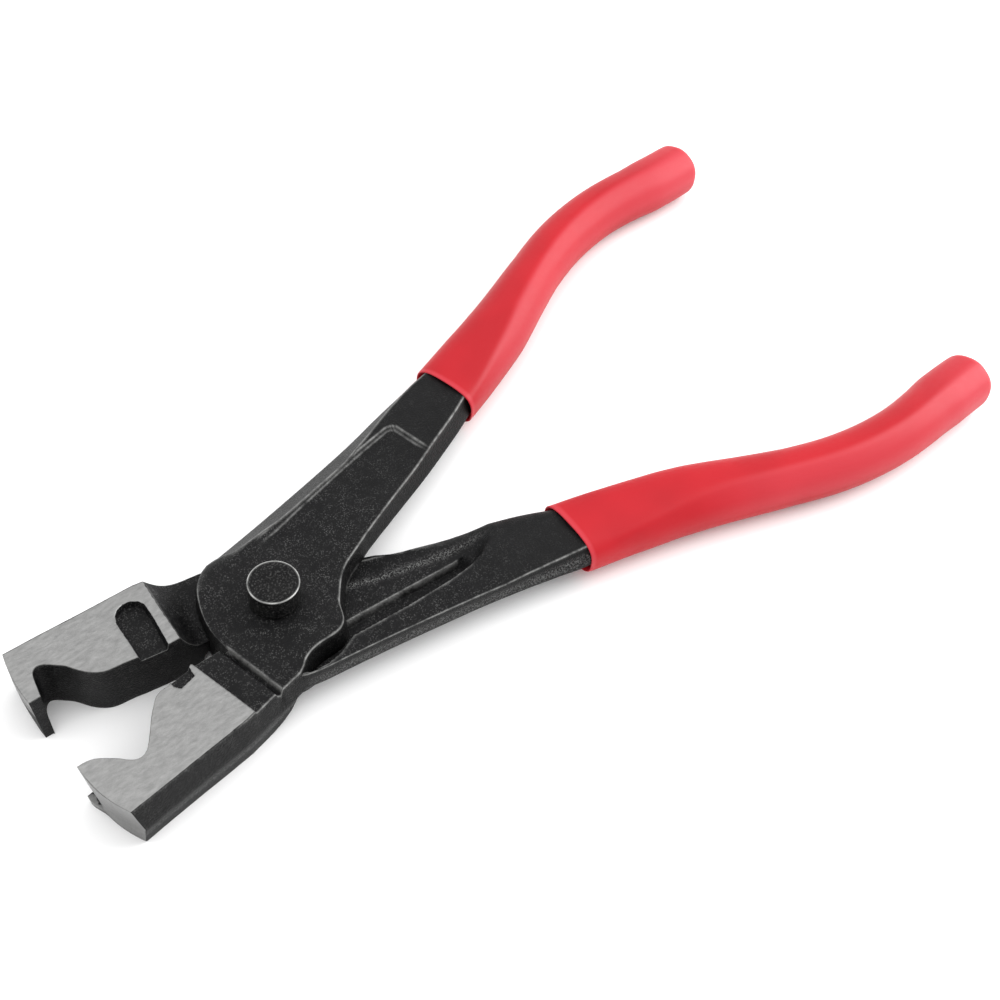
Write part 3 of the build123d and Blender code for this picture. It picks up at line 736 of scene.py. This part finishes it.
def lever_skin(lever, runs, core, counts, bow, lean):
    """A lever as stations across it: low wall up, outer face, high wall down, inner face back.

    A station is the straight line between the two edges of the outline. Its points lie at set distances
    from an edge on the walls and at equal shares between the walls on the faces, whose heights are the
    outer and the inner face's functions of x and y. The nose is a patch on the first station, and the core
    inside the grip ends in a flat cap. Marks for the materials come with the points, as columns after x, y
    and z: ground, scuffed edge with painted highlight, rough flash band, and painted shade on walls and nose.
    """
    walls, arcs = len(INNER_SHARES), len(EDGE_WEAR_AND_HIGHLIGHT)
    least_sine = 0.45
    low = np.concatenate([on_line(r[1], r[0], r[2]) for r in runs] + [core[0]])
    high = np.concatenate([on_line(r[3], r[0], r[4]) for r in runs] + [core[1]])
    line = high - low
    length = np.hypot(*line.T)
    unit = line / length[:, None]

    def steep(edge):
        """Sine of the angle at which the stations meet an edge, held away from 0."""
        along = np.gradient(edge, axis=0)
        along = along / np.maximum(np.hypot(*along.T), 1e-9)[:, None]
        sine = np.abs(unit[:, 0] * along[:, 1] - unit[:, 1] * along[:, 0])
        return np.maximum(sine, least_sine)

    slant = (steep(low), steep(high))

    def at_distance(side, distance):
        """Points of the stations at a distance from the low edge (side 0) or the high edge (side 1)."""
        reach = (distance / slant[side])[..., None]
        return low + unit * reach if side == 0 else high - unit * reach

    def make_side(k, side, face, sign):
        """One of the four walls: k 0 and 1 rise to the outer face, 2 and 3 fall to the inner one."""
        edge = (low, high)[side]
        draft, bend = y_on(DRAFTS[k], edge[:, 0]), y_on(ROUNDINGS[k], edge[:, 0])
        seat = at_distance(side, draft + bend)
        height = face(seat[:, 0], seat[:, 1], lever)[0]
        shares = np.array(INNER_SHARES) if k > 1 else np.arange(walls) / walls
        inward, rising, total = wall_rows(draft, bend, height, shares, arcs)
        flat = at_distance(side, inward)
        # The rounded edge rows carry wear and a painted highlight
        wear_and_highlight = np.array([0.0] * walls + EDGE_WEAR_AND_HIGHLIGHT)[:, None] * np.minimum(1, 0.45 / bend) ** 2
        if k == 0 and lever > 0:
            wear_and_highlight = wear_and_highlight * (1 - 0.8 * soft((-18 - edge[:, 0]) / 4))
        wear_and_highlight = wear_and_highlight * np.clip(np.abs(height), 0, 1)
        part = np.concatenate([shares, np.ones(arcs)])[:, None] + np.zeros(len(edge))
        # Wall rows are marked for painted shade
        on_wall = (part < 0.99) * 1.0
        past_neck = soft((flat[..., 0] + 7) / 6)
        band = (0 * part,
                0.25 * past_neck * on_wall,
                0.55 * soft((part - 0.05) / 0.3) * (part < 0.55),
                0.6 * past_neck * soft((0.70 - part) / 0.1))[k]
        marks = np.stack([np.zeros_like(wear_and_highlight), wear_and_highlight, band, on_wall], -1)
        return np.concatenate([flat, sign * rising[..., None], marks], -1), total

    def make_face(face, count, low_total, high_total, sign):
        """One of the two faces, between the places where the walls beside it end."""
        start, end = at_distance(0, low_total), at_distance(1, high_total)
        share = np.linspace(0, 1, count + 1)[:, None, None]
        flat = start + (end - start) * share
        height, ground, edge, band = face(flat[..., 0], flat[..., 1], lever)
        marks = np.stack([ground, edge, band, np.zeros_like(band)], -1)
        return np.concatenate([flat, sign * height[..., None], marks], -1)

    up_low, a = make_side(0, 0, outer_face, 1)
    up_high, b = make_side(1, 1, outer_face, 1)
    down_low, c = make_side(2, 0, inner_face, -1)
    down_high, d = make_side(3, 1, inner_face, -1)
    top = make_face(outer_face, counts[0], a, b, 1)
    bottom = make_face(inner_face, counts[1], c, d, -1)
    loop = np.concatenate([up_low, top, up_high[::-1], down_high[1:], bottom[::-1], down_low[:0:-1]])
    around, count = len(loop), len(low)
    grid = np.swapaxes(loop, 0, 1).copy()

    # Bow and lean of the nose, dying out behind it, and the undercut of the rear lever's hook
    run = lengths_along((low + high) / 2)
    near = np.exp(-((run / 4.5) ** 2))[:, None]
    part = ((grid[..., :2] - low[:, None]) * unit[:, None]).sum(-1) / length[:, None]
    swell = np.sin(np.pi * np.clip(part, 0, 1)) ** 0.8
    if lever < 0:
        depth = (JAW_FACE + grid[..., 2]) / (2 * JAW_FACE)
        undercut = HOOK_UNDERCUT * soft((part - 0.55) / 0.4) * depth
        grid[..., 0] -= undercut * bell(run - 2.2, 1.6)[:, None]
    depth = (JAW_FACE - lever * grid[..., 2]) / (2 * JAW_FACE)
    grid[..., 0] += near * (lean * depth - bow * swell)

    nose, nose_faces = nose_patch(grid[0], walls + arcs, counts, count * around, lever)
    if lever > 0:
        grid[..., 0] += lip_shift(part, grid[..., 2]) * bell(run, 2.2)[:, None]
    faces = ring_quads(count, around)[:, [0, 3, 2, 1]].tolist()
    faces.append([(count - 1) * around + i for i in range(around)][::-1])
    return np.concatenate([grid.reshape(-1, 7), nose]), faces + nose_faces


def lip_shift(part, z):
    """Shift along X of the lower jaw's nose by the mouth: an undercut that deepens downwards, then a lip.

    The undercut is its depth times ((3 - z) / 6.3)^2, and the lip begins 3.5 below the parting line.
    """
    under = LIP_UNDERCUT * np.clip((3 - z) / 6.3, 0, 1) ** 2
    lip = soft((-3.35 - z) / 0.4)
    return soft((part - 0.66) / 0.32) * (under * (1 - lip) - LIP_OUT * lip)


def painted_slot_shade(part, z):
    """Share of painted shade in the slot over that lip, narrowing away from the mouth."""
    return soft((part - 0.70) / 0.12) * soft((-1.5 - 4 * (1 - part) - z) / 0.8) * soft((z + 3.8) / 0.4)


def nose_ground(u, v, z, lever):
    """Share of ground steel on the nose: all but the slot over the lip, left black as painted shade, and on
    the hook only its outer part.
    """
    if lever > 0:
        return 1.0 - soft(1.5 * painted_slot_shade(u, z))
    return 1.0 - soft((0.62 - v) / 0.1) + 0 * u


def grip_core(first_x, widths):
    """Edges of the core inside a grip: its centre line, offset both ways by a narrowing half width."""
    last_x, steps = 152.0, 18
    at = np.linspace(run_at(first_x, 600), run_at(last_x, 600), steps)
    centre, ahead = centre_at(at), ahead_at(at)
    ahead = ahead / np.hypot(*ahead.T)[:, None]
    half = np.interp(centre[:, 0], [first_x, first_x + 12, 90, last_x], widths)[:, None]
    side = np.column_stack([-ahead[:, 1], ahead[:, 0]]) * half
    return centre - side, centre + side


def lever_piece(name, steel, lever, runs, core, counts, bow, lean):
    """The lever's mesh with its marks as attributes; the rear lever is turned over about X."""
    cells, faces = lever_skin(lever, runs, grip_core(*core), counts, bow, lean)
    points = cells[:, :3] * (1, lever, lever)
    piece = make_piece(name + "_lever_skin", points, faces, steel, name + "_half",
                       name + "_lever")
    for column, mark in enumerate(("ground", "wear_and_highlight", "band", "wall")):
        mark_points(piece, mark, cells[:, 3 + column])


# Each lever's way up, outline, core (first X and half widths), columns on its outer and inner face, and how
# far its nose bows out and leans
LEVERS = {
    "front": dict(lever=1, runs=FRONT_JAW + PLATE_RUNS + FRONT_HANDLE, core=(61.8, [6.6, 5.8, 4.1, 4.0]),
                  counts=(110, 55), bow=1.1, lean=1.1),
    "rear": dict(lever=-1, runs=REAR_JAW + PLATE_RUNS + REAR_HANDLE, core=(57.5, [6.2, 5.6, 4.1, 4.0]),
                 counts=(55, 110), bow=0.6, lean=0.8),
}


# ---------------------------------------------------------------- rivet

# Radius, height, and wear with painted highlight, of the rivet's outline, from the middle of its lower head
# to its upper one
RIVET = [(0, -6.0, 0), (3.0, -6.0, 0), (4.6, -5.97, 0), (5.0, -5.85, 1), (5.2, -5.6, 0), (5.2, -5.02, 0),
         (3.0, -5.0, 0), (2.95, -4.9, 0), (2.95, 4.9, 0), (3.1, 5.02, 0), (4.6, 5.02, 0), (4.7, 5.2, 0),
         (4.75, 9.5, 0), (4.77, 9.9, 0), (4.76, 10.02, 0.3), (4.71, 10.12, 1), (4.6, 10.18, 1),
         (4.5, 10.17, 0.2), (4.3, 10.12, 0), (3.0, 10.08, 0), (1.5, 10.06, 0), (0, 10.05, 0)]


def rivet_skin():
    """The outline turned about Z: (r cos t, r sin t, z), with one point at each end of the axis."""
    around = 96
    outline = np.array(RIVET, float)
    fine = [outline[:1]]
    for start, end in zip(outline[1:-2], outline[2:-1]):
        fine.append(start + (end - start) * np.linspace(0, 1, 4)[:-1, None])
    fine.append(outline[-2:])
    outline = np.concatenate(fine)
    angle = np.linspace(0, 2 * np.pi, around, endpoint=False)
    ring = outline[1:-1]
    x, y = ring[:, :1] * np.cos(angle), ring[:, :1] * np.sin(angle)
    points = np.stack([x, y, ring[:, 1:2] + 0 * angle], -1)
    points = np.concatenate([points.reshape(-1, 3), [(0, 0, outline[0, 1]), (0, 0, outline[-1, 1])]])
    wear_and_highlight = np.concatenate([np.repeat(ring[:, 2], around), [0, 0]])
    rings = len(ring)
    faces = ring_quads(rings, around).tolist()
    k = np.arange(around)
    after = (k + 1) % around
    faces += np.stack([after, k, np.full(around, rings * around)], -1).tolist()
    last = (rings - 1) * around
    faces += np.stack([last + k, last + after, np.full(around, rings * around + 1)], -1).tolist()
    return points, faces, wear_and_highlight


add_camera()
add_studio()
steel = lever_steel()
for name, shape in LEVERS.items():
    lever_piece(name, steel, **shape)
points, faces, wear_and_highlight = rivet_skin()
rivet = make_piece("rivet_skin", points, faces, rivet_steel(), "rear_half", "pivot_rivet")
mark_points(rivet, "wear_and_highlight", wear_and_highlight)
red = vinyl()
for name, shape in GRIPS.items():
    points, faces, painted_light = grip_skin(**shape)
    grip = make_piece(name + "_dipped_grip", points, faces, red, name + "_half",
                      name + "_grip")
    mark_points(grip, "painted_light", painted_light)

bpy.context.scene.view_settings.view_transform = "Standard"
